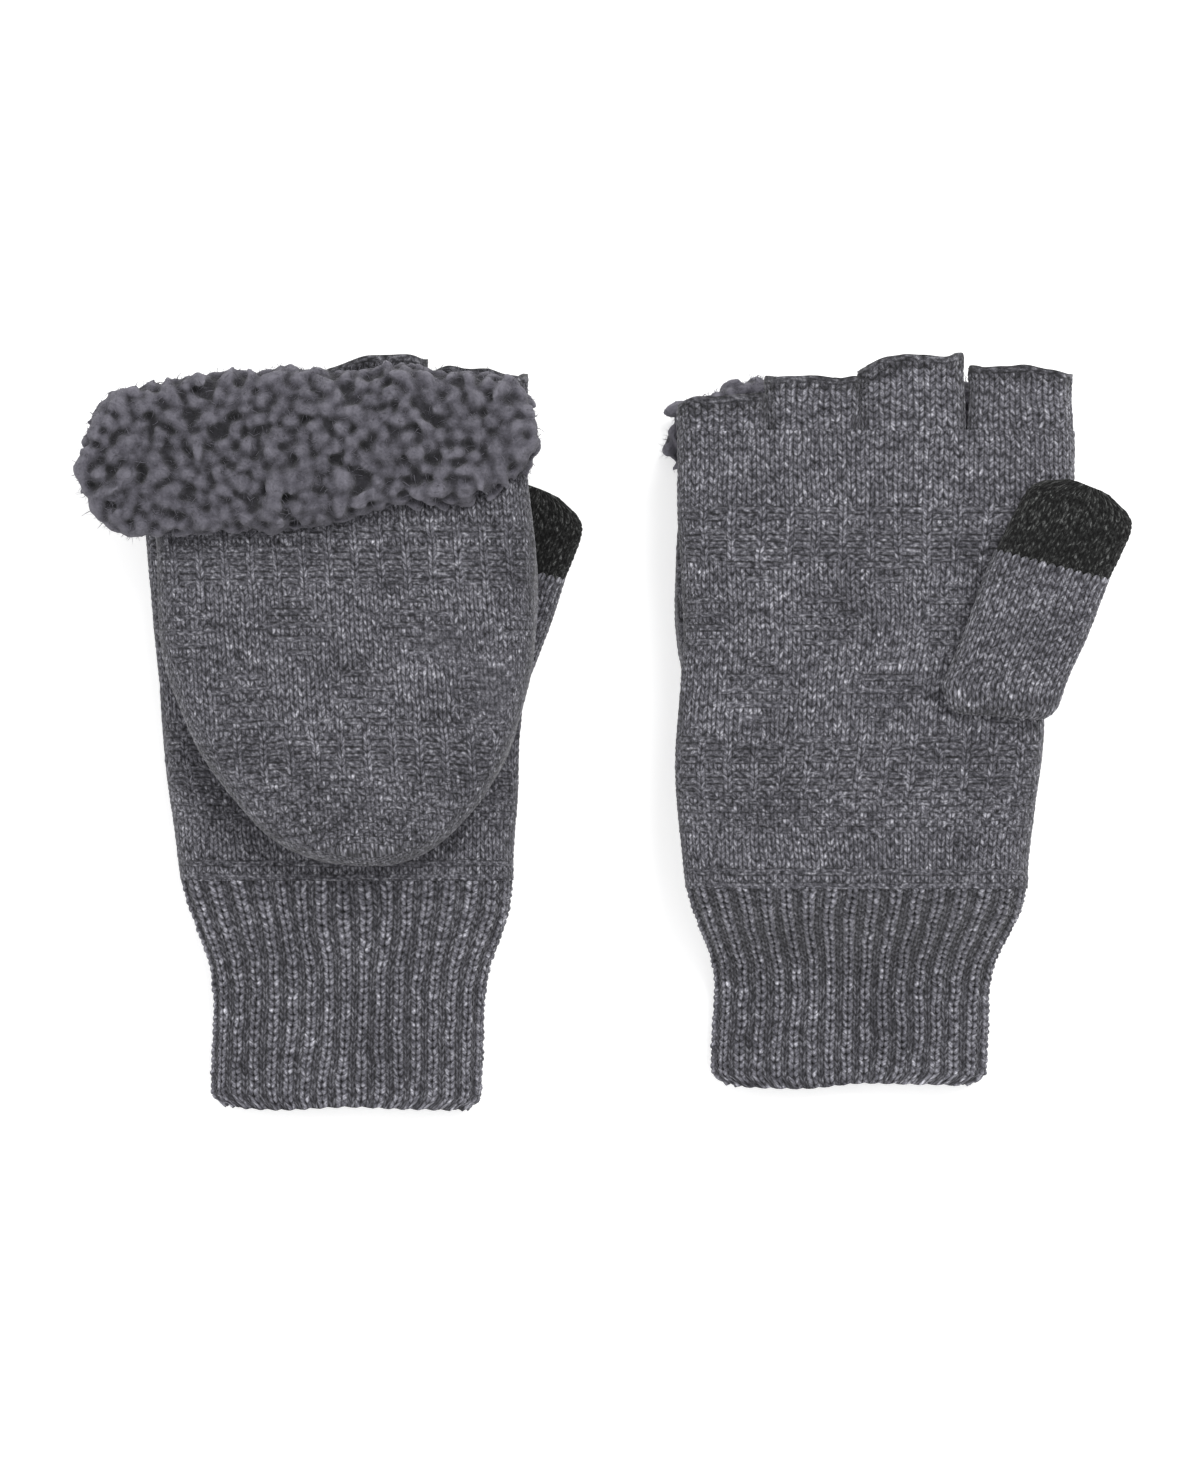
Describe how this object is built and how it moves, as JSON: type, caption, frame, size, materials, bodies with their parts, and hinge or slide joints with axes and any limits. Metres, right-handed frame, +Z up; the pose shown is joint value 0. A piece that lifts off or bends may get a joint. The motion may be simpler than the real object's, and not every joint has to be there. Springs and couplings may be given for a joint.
{
  "type": "convertible flip-top mittens",
  "caption": "Knitted fingerless mittens lying flat, each with a fleece-lined cap hinged at the knuckles that folds over the fingers or back onto the hand.",
  "frame": {"origin": "centre of the pair's bounding box, on the table it lies on", "axes": "+X from the left mitten to the right one, +Y towards the fingertips, +Z up"},
  "size_m": [0.303, 0.22, 0.0464],
  "materials": {
    "heather_knit": "heathered wool-blend knit",
    "touch_yarn": "dark conductive-yarn knit",
    "fleece": "tufted sherpa fleece",
    "seam_yarn": "rolled knit seam"
  },
  "bodies": {
    "left_hand": {"left_cuff": "heather_knit", "left_hand": "heather_knit", "left_pinky_stub": "heather_knit", "left_ring_stub": "heather_knit", "left_middle_stub": "heather_knit", "left_index_stub": "heather_knit", "left_thumb_gusset": "heather_knit", "left_hinge_seam": "seam_yarn"},
    "left_thumb_part": {"left_thumb": "heather_knit", "left_thumb_tip": "touch_yarn"},
    "left_cap": {"left_cap_back_shell": "heather_knit", "left_cap_back_lining": "fleece"},
    "left_cap_front": {"left_cap_front_shell": "heather_knit", "left_cap_front_lining": "fleece", "left_fleece_cuff": "fleece"},
    "right_hand": {"right_cuff": "heather_knit", "right_hand": "heather_knit", "right_pinky_stub": "heather_knit", "right_ring_stub": "heather_knit", "right_middle_stub": "heather_knit", "right_index_stub": "heather_knit", "right_thumb_gusset": "heather_knit", "right_hinge_seam": "seam_yarn"},
    "right_thumb_part": {"right_thumb": "heather_knit", "right_thumb_tip": "touch_yarn"},
    "right_cap": {"right_cap_back_shell": "heather_knit", "right_cap_back_lining": "fleece"},
    "right_cap_front": {"right_cap_front_shell": "heather_knit", "right_cap_front_lining": "fleece", "right_fleece_cuff": "fleece"}
  },
  "joints": [
    {"name": "left_cap_flip", "type": "hinge", "parent": "left_hand", "child": "left_cap", "pos_m": [-0.07845, 0.082, 0.01725], "axis": [-1, 0, 0], "range_deg": [0, 180], "deforming": ["left_cap_front_shell", "left_cap_front_lining", "left_fleece_cuff"]},
    {"name": "left_cap_mouth", "type": "hinge", "parent": "left_cap", "child": "left_cap_front", "pos_m": [-0.06905, -0.0395, 0.01585], "axis": [1, 0, 0], "range_deg": [0, 9]},
    {"name": "left_thumb_lift", "type": "hinge", "parent": "left_hand", "child": "left_thumb_part", "pos_m": [-0.04185, 0.0136, 0.0085], "axis": [-0.9969, 0.0785, 0], "range_deg": [0, 60], "deforming": ["left_thumb_gusset"]},
    {"name": "right_cap_flip", "type": "hinge", "parent": "right_hand", "child": "right_cap", "pos_m": [0.07825, 0.0805, 0.02035], "axis": [1, 0, 0], "range_deg": [0, 180], "deforming": ["right_cap_front_shell", "right_cap_front_lining", "right_fleece_cuff"]},
    {"name": "right_cap_mouth", "type": "hinge", "parent": "right_cap", "child": "right_cap_front", "pos_m": [0.07675, -0.041, 0.02175], "axis": [-1, 0, 0], "range_deg": [0, 9]},
    {"name": "right_thumb_lift", "type": "hinge", "parent": "right_hand", "child": "right_thumb_part", "pos_m": [0.11485, 0.0121, 0.0379], "axis": [0.9969, -0.0785, 0], "range_deg": [0, 60], "deforming": ["right_thumb_gusset"]},
    {"name": "pair_slide", "type": "slide", "parent": "left_hand", "child": "right_hand", "axis": [1, 0, 0], "range_m": [0, 0.1]}
  ],
  "couplings": [
    {"joint": "left_cap_mouth", "follows": "left_cap_flip", "ratio": 0.05},
    {"joint": "right_cap_mouth", "follows": "right_cap_flip", "ratio": 0.05}
  ]
}
